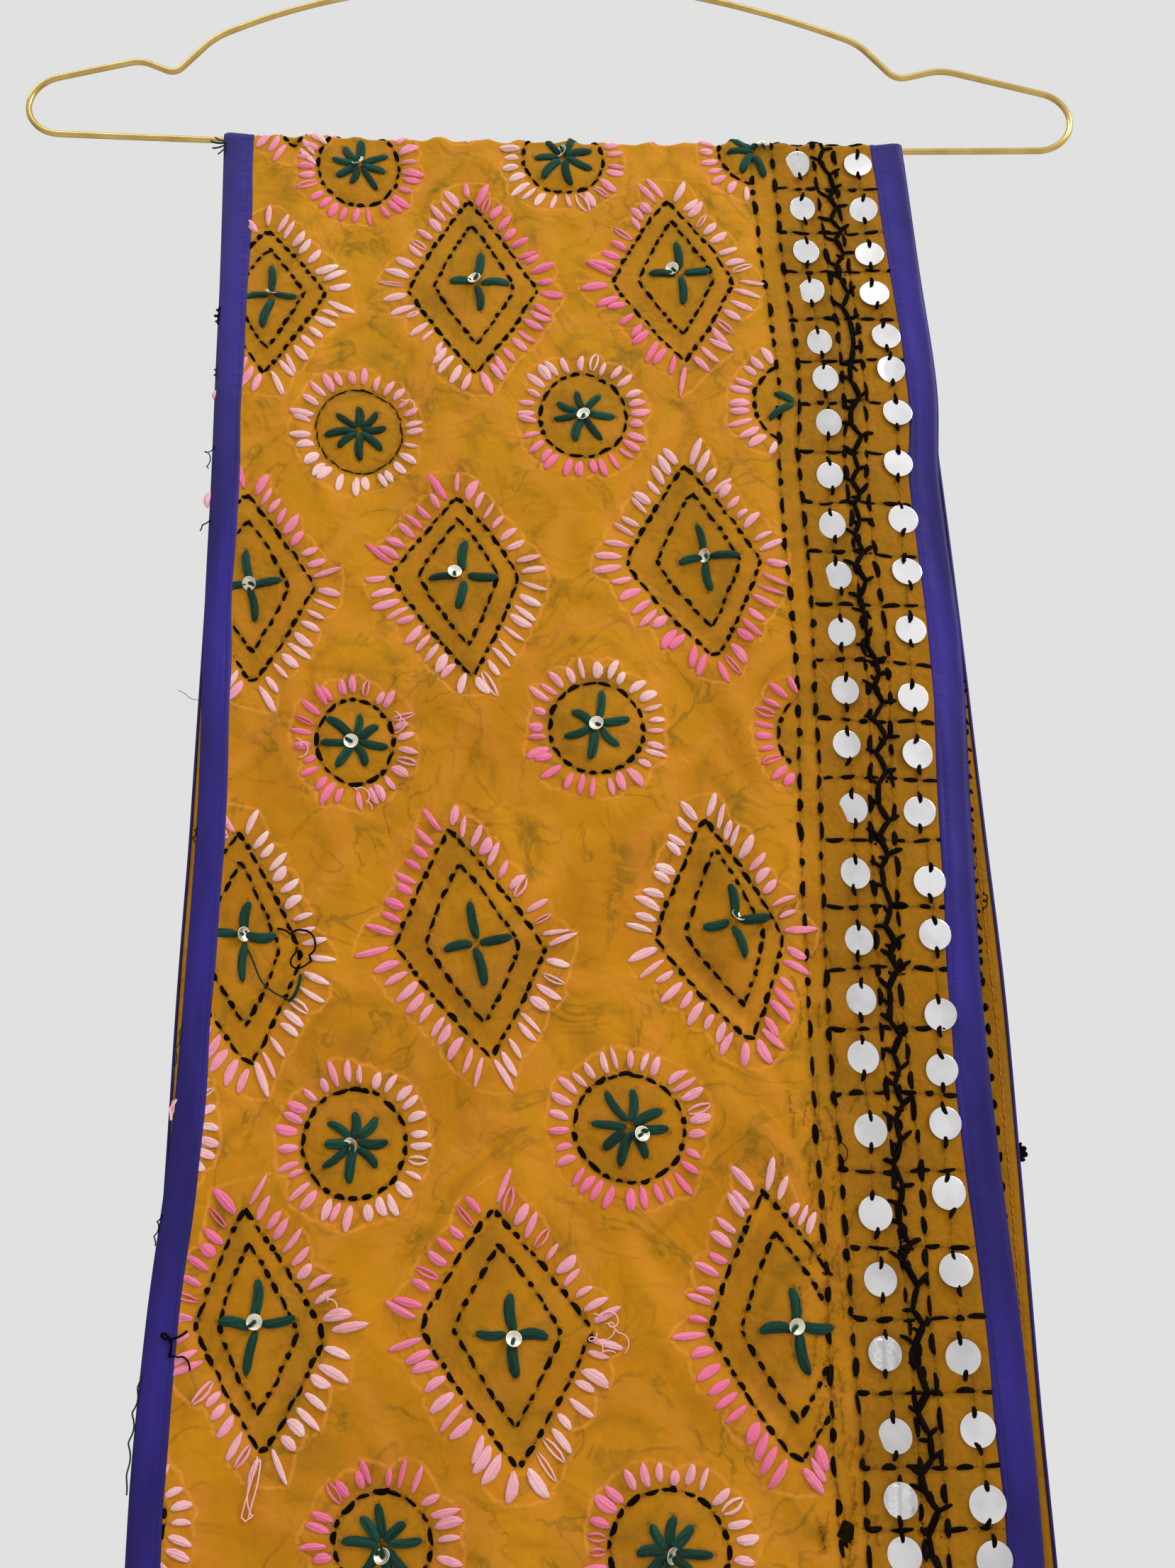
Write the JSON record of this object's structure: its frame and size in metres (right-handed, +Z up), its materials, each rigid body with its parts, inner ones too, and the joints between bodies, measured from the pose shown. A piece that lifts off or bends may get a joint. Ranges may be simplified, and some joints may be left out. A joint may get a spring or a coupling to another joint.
{
  "type": "mirror work scarf on a hanger",
  "caption": "Long narrow embroidered scarf with ribbon-bound edges and a mirror border, folded over the bar of a wire hanger.",
  "frame": {"origin": "the inside of the hook's crown, where a rail or wall hook holds the hanger", "axes": "+Z up along the hanging scarf, +X along the bar to the viewer's right, -Y towards the viewer and the front fall"},
  "size_m": [0.4326, 0.0205, 1.0649],
  "materials": {
    "cloth": "sheer mustard georgette, matt, slightly crinkled",
    "ribbon": "purple-blue satin ribbon, soft sheen",
    "pink_thread": "loose soft cotton floss, shaded from hot pink to pale pink",
    "green_thread": "dark bottle green wool floss",
    "black_thread": "matt black floss",
    "orange_thread": "pale orange float on the wrong side",
    "mirror": "thin flat silver paillette",
    "wire": "bright brass plated steel wire"
  },
  "bodies": {
    "root": {"scarf_front_fall": "cloth", "scarf_over_bar": "cloth", "scarf_back_fall": "cloth", "ribbon_left_front_fall": "ribbon", "ribbon_left_over_bar": "ribbon", "ribbon_left_back_fall": "ribbon", "ribbon_right_front_fall": "ribbon", "ribbon_right_over_bar": "ribbon", "ribbon_right_back_fall": "ribbon", "hanger_bar": "wire", "hanger_arm_left": "wire", "hanger_arm_right": "wire", "hanger_hook": "wire"}
  },
  "joints": []
}
